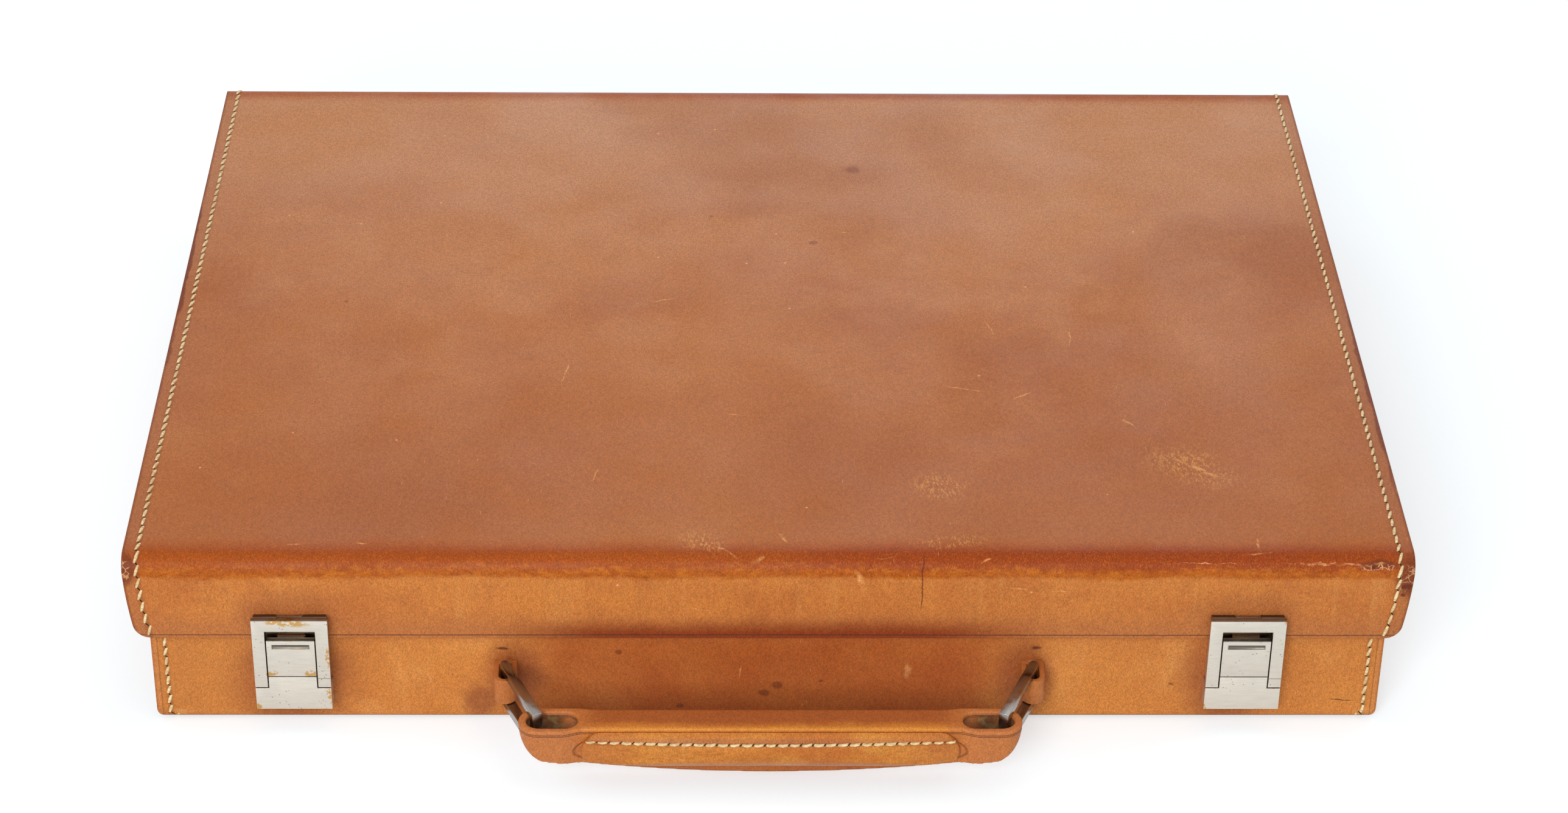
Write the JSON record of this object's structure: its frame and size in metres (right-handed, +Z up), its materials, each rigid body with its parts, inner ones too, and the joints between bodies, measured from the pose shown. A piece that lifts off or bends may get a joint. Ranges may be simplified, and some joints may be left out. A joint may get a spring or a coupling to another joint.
{
  "type": "vanity case",
  "caption": "Slim leather vanity case: shallow base and hinged lid with sewn end panels, spring latches, mirror and a link-hung carrying handle.",
  "frame": {"origin": "centre of the underside of the case", "axes": "+X along the width, -Y towards the handle, +Z up through the lid"},
  "size_m": [0.44, 0.3853, 0.0693],
  "materials": {
    "lid_leather": "vegetable tanned, satin, worn",
    "base_leather": "vegetable tanned, satin, worn",
    "handle_leather": "vegetable tanned, burnished edges",
    "frame_leather": "satin",
    "suede": "suede",
    "tray_wood": "plain",
    "latch_metal": "nickel plated, worn to the brass at edges",
    "pin_metal": "satin",
    "link_metal": "nickel plated, darkened with age",
    "rivet_brass": "satin",
    "hinge_metal": "nickel plated, satin",
    "mirror": "polished"
  },
  "bodies": {
    "case": {"base_carcass": "tray_wood", "base_wrap": "base_leather", "base_end_left": "base_leather", "base_end_right": "base_leather", "base_liner": "suede", "base_floor_pad": "suede", "lock_plate_left": "latch_metal", "lock_plate_right": "latch_metal", "catch_pin_left": "pin_metal", "catch_pin_right": "pin_metal", "catch_spring_left": "pin_metal", "catch_spring_right": "pin_metal", "lock_rivets": "rivet_brass", "handle_loop_left": "handle_leather", "handle_loop_right": "handle_leather", "loop_rivets": "rivet_brass", "hinge_leaves_base": "hinge_metal", "hinge_pins": "hinge_metal", "hinge_screws_base": "hinge_metal"},
    "lid": {"lid_carcass": "tray_wood", "lid_wrap": "lid_leather", "lid_end_left": "lid_leather", "lid_end_right": "lid_leather", "lid_liner": "suede", "lid_ceiling_pad": "suede", "mirror_frame": "frame_leather", "mirror_glass": "mirror", "hasp_plate_left": "latch_metal", "hasp_plate_right": "latch_metal", "hasp_pin_left": "pin_metal", "hasp_pin_right": "pin_metal", "hasp_rivets": "rivet_brass", "hinge_leaves_lid": "hinge_metal", "hinge_screws_lid": "hinge_metal"},
    "hasp_left": {"hasp_left": "latch_metal"},
    "hasp_right": {"hasp_right": "latch_metal"},
    "catch_left": {"catch_left": "latch_metal"},
    "catch_right": {"catch_right": "latch_metal"},
    "handle": {"handle_core": "handle_leather", "handle_grip": "handle_leather"},
    "link_left": {"link_left": "link_metal"},
    "link_right": {"link_right": "link_metal"}
  },
  "joints": [
    {"name": "lid_hinge", "type": "hinge", "parent": "case", "child": "lid", "pos_m": [0, 0.1712, 0.0365], "axis": [-1, 0, 0], "range_deg": [0, 100]},
    {"name": "hasp_left_hinge", "type": "hinge", "parent": "lid", "child": "hasp_left", "pos_m": [-0.164, -0.1718, 0.0462], "axis": [-1, 0, 0], "range_deg": [0, 95]},
    {"name": "hasp_right_hinge", "type": "hinge", "parent": "lid", "child": "hasp_right", "pos_m": [0.164, -0.1718, 0.0462], "axis": [-1, 0, 0], "range_deg": [0, 95]},
    {"name": "catch_left_pivot", "type": "hinge", "parent": "case", "child": "catch_left", "pos_m": [-0.164, -0.1714, 0.0302], "axis": [-1, 0, 0], "range_deg": [0, 6], "stiffness_Nm_per_rad": 0.06},
    {"name": "catch_right_pivot", "type": "hinge", "parent": "case", "child": "catch_right", "pos_m": [0.164, -0.1714, 0.0302], "axis": [-1, 0, 0], "range_deg": [0, 6], "stiffness_Nm_per_rad": 0.06},
    {"name": "handle_slide", "type": "slide", "parent": "case", "child": "handle", "axis": [0, -1, 0], "range_m": [-0.0088, 0]},
    {"name": "link_left_swing", "type": "hinge", "parent": "case", "child": "link_left", "pos_m": [-0.091, -0.174, 0.02065], "axis": [0, 0, 1], "range_deg": [-0.5, 29]},
    {"name": "link_right_swing", "type": "hinge", "parent": "case", "child": "link_right", "pos_m": [0.091, -0.174, 0.02065], "axis": [0, 0, 1], "range_deg": [-29, 0.5]}
  ],
  "couplings": [
    {"joint": "link_left_swing", "follows": "handle_slide", "rad_per_m": -56.45},
    {"joint": "link_right_swing", "follows": "handle_slide", "rad_per_m": 56.45}
  ]
}
